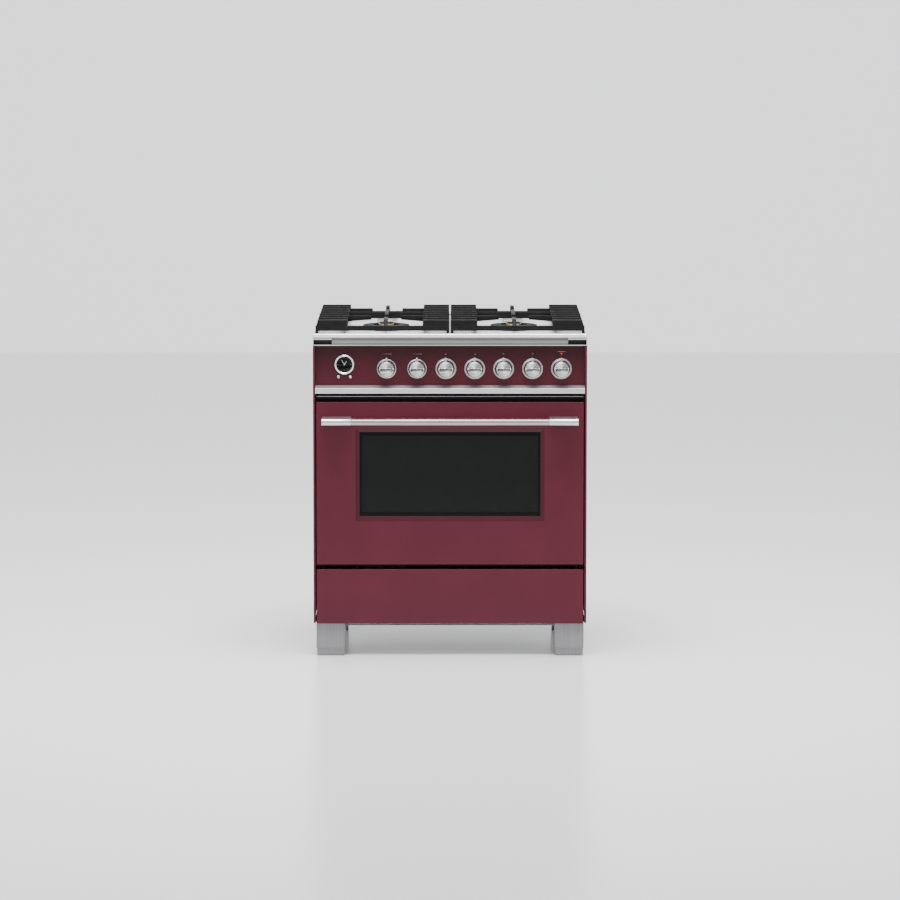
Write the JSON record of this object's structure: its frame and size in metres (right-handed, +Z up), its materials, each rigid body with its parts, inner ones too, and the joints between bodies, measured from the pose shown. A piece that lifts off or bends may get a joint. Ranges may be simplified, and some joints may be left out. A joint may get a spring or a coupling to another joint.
{
  "type": "freestanding gas range",
  "caption": "Freestanding gas range with sealed burners under cast pan supports, a drop-down glazed oven door, a storage drawer, dials, a clock and block legs.",
  "frame": {"origin": "on the floor, at the middle of the overall box", "axes": "+Z up, -Y towards the user, +X to the user's right"},
  "size_m": [0.759, 0.715, 0.9325],
  "materials": {
    "burgundy_enamel": "gloss enamel",
    "zinc_sheet": "galvanised sheet",
    "black_enamel": "gloss vitreous enamel",
    "gasket": "woven rope seal",
    "chrome_wire": "bright",
    "brushed_steel": "horizontal brushing",
    "bright_steel": "fine satin",
    "burner_alloy": "cast and machined",
    "cast_iron": "matt black enamel",
    "brass": "machined",
    "dark_glass": "dark tinted",
    "clear_glass": "clear"
  },
  "bodies": {
    "range_body": {"side_panel_right": "burgundy_enamel", "side_panel_left": "burgundy_enamel", "control_panel": "burgundy_enamel", "back_panel": "zinc_sheet", "chassis_base": "zinc_sheet", "door_hinge_right": "zinc_sheet", "door_hinge_left": "zinc_sheet", "drawer_runner_right": "zinc_sheet", "drawer_runner_left": "zinc_sheet", "front_frame": "black_enamel", "oven_cavity": "black_enamel", "oven_fan_cover": "black_enamel", "door_gasket": "gasket", "leg_front_right": "brushed_steel", "leg_front_left": "brushed_steel", "leg_rear_right": "brushed_steel", "leg_rear_left": "brushed_steel", "hob_frame": "brushed_steel", "hob_vent_channel": "brushed_steel", "rear_vent_trim": "brushed_steel", "control_rail": "brushed_steel", "hob_tray": "bright_steel", "clock_bezel": "bright_steel", "burner_body_front_left": "burner_alloy", "burner_body_front_right": "burner_alloy", "burner_body_rear_left": "burner_alloy", "burner_body_rear_right": "burner_alloy", "gas_manifold": "burner_alloy", "burner_cap_front_left": "cast_iron", "burner_cap_front_right": "cast_iron", "burner_cap_rear_left": "cast_iron", "burner_cap_rear_right": "cast_iron", "clock_face": "dark_glass"},
    "oven_door": {"door_panel": "burgundy_enamel", "window_glass": "dark_glass", "door_liner": "black_enamel", "inner_glass": "clear_glass", "handle_bar": "brushed_steel", "handle_bracket_right": "brushed_steel", "handle_bracket_left": "brushed_steel"},
    "drawer": {"drawer_front": "burgundy_enamel", "drawer_box": "zinc_sheet"},
    "oven_function_dial": {"oven_function_knob": "bright_steel"},
    "oven_temperature_dial": {"oven_temperature_knob": "bright_steel"},
    "clock_button_left": {"clock_button_left": "bright_steel"},
    "clock_button_right": {"clock_button_right": "bright_steel"},
    "grate_left": {"grate_left": "cast_iron"},
    "grate_right": {"grate_right": "cast_iron"},
    "oven_rack_lower": {"oven_rack_lower": "chrome_wire"},
    "oven_rack_upper": {"oven_rack_upper": "chrome_wire"},
    "burner_valve_stem_1": {"burner_valve_stem_1": "brass"},
    "burner_knob_1": {"burner_knob_1": "bright_steel"},
    "burner_valve_stem_2": {"burner_valve_stem_2": "brass"},
    "burner_knob_2": {"burner_knob_2": "bright_steel"},
    "burner_valve_stem_3": {"burner_valve_stem_3": "brass"},
    "burner_knob_3": {"burner_knob_3": "bright_steel"},
    "burner_valve_stem_4": {"burner_valve_stem_4": "brass"},
    "burner_knob_4": {"burner_knob_4": "bright_steel"},
    "oven_gas_valve_stem": {"oven_gas_valve_stem": "brass"},
    "oven_gas_knob": {"oven_gas_knob": "bright_steel"}
  },
  "joints": [
    {"name": "door_swing", "type": "hinge", "parent": "range_body", "child": "oven_door", "pos_m": [0, -0.2625, 0.268], "axis": [1, 0, 0], "range_deg": [0, 90], "stiffness_Nm_per_rad": 14, "springref_deg": -20.05},
    {"name": "drawer_slide", "type": "slide", "parent": "range_body", "child": "drawer", "axis": [0, -1, 0], "range_m": [0, 0.34]},
    {"name": "oven_function_turn", "type": "hinge", "parent": "range_body", "child": "oven_function_dial", "pos_m": [-0.1756, -0.2825, 0.801], "axis": [0, 1, 0], "range_deg": [0, 300]},
    {"name": "oven_temperature_turn", "type": "hinge", "parent": "range_body", "child": "oven_temperature_dial", "pos_m": [-0.0914, -0.2825, 0.801], "axis": [0, 1, 0], "range_deg": [0, 270]},
    {"name": "burner_1_turn", "type": "hinge", "parent": "range_body", "child": "burner_valve_stem_1", "pos_m": [-0.0114, -0.2825, 0.801], "axis": [0, -1, 0], "range_deg": [0, 210]},
    {"name": "burner_1_push", "type": "slide", "parent": "burner_valve_stem_1", "child": "burner_knob_1", "axis": [0, 1, 0], "range_m": [0, 0.004], "stiffness_N_per_m": 800, "springref_m": -0.002},
    {"name": "burner_2_turn", "type": "hinge", "parent": "range_body", "child": "burner_valve_stem_2", "pos_m": [0.0686, -0.2825, 0.801], "axis": [0, -1, 0], "range_deg": [0, 210]},
    {"name": "burner_2_push", "type": "slide", "parent": "burner_valve_stem_2", "child": "burner_knob_2", "axis": [0, 1, 0], "range_m": [0, 0.004], "stiffness_N_per_m": 800, "springref_m": -0.002},
    {"name": "burner_3_turn", "type": "hinge", "parent": "range_body", "child": "burner_valve_stem_3", "pos_m": [0.1486, -0.2825, 0.801], "axis": [0, -1, 0], "range_deg": [0, 210]},
    {"name": "burner_3_push", "type": "slide", "parent": "burner_valve_stem_3", "child": "burner_knob_3", "axis": [0, 1, 0], "range_m": [0, 0.004], "stiffness_N_per_m": 800, "springref_m": -0.002},
    {"name": "burner_4_turn", "type": "hinge", "parent": "range_body", "child": "burner_valve_stem_4", "pos_m": [0.2286, -0.2825, 0.801], "axis": [0, -1, 0], "range_deg": [0, 210]},
    {"name": "burner_4_push", "type": "slide", "parent": "burner_valve_stem_4", "child": "burner_knob_4", "axis": [0, 1, 0], "range_m": [0, 0.004], "stiffness_N_per_m": 800, "springref_m": -0.002},
    {"name": "oven_gas_turn", "type": "hinge", "parent": "range_body", "child": "oven_gas_valve_stem", "pos_m": [0.3086, -0.2825, 0.801], "axis": [0, -1, 0], "range_deg": [0, 210]},
    {"name": "oven_gas_push", "type": "slide", "parent": "oven_gas_valve_stem", "child": "oven_gas_knob", "axis": [0, 1, 0], "range_m": [0, 0.004], "stiffness_N_per_m": 800, "springref_m": -0.002},
    {"name": "clock_button_left_press", "type": "slide", "parent": "range_body", "child": "clock_button_left", "axis": [0, 1, 0], "range_m": [0, 0.002], "stiffness_N_per_m": 300, "springref_m": -0.001},
    {"name": "clock_button_right_press", "type": "slide", "parent": "range_body", "child": "clock_button_right", "axis": [0, 1, 0], "range_m": [0, 0.002], "stiffness_N_per_m": 300, "springref_m": -0.001},
    {"name": "grate_left_lift", "type": "slide", "parent": "range_body", "child": "grate_left", "axis": [0, 0, 1], "range_m": [0, 0.12]},
    {"name": "grate_right_lift", "type": "slide", "parent": "range_body", "child": "grate_right", "axis": [0, 0, 1], "range_m": [0, 0.12]},
    {"name": "rack_lower_slide", "type": "slide", "parent": "range_body", "child": "oven_rack_lower", "axis": [0, -1, 0], "range_m": [0, 0.028]},
    {"name": "rack_upper_slide", "type": "slide", "parent": "range_body", "child": "oven_rack_upper", "axis": [0, -1, 0], "range_m": [0, 0.028]}
  ]
}
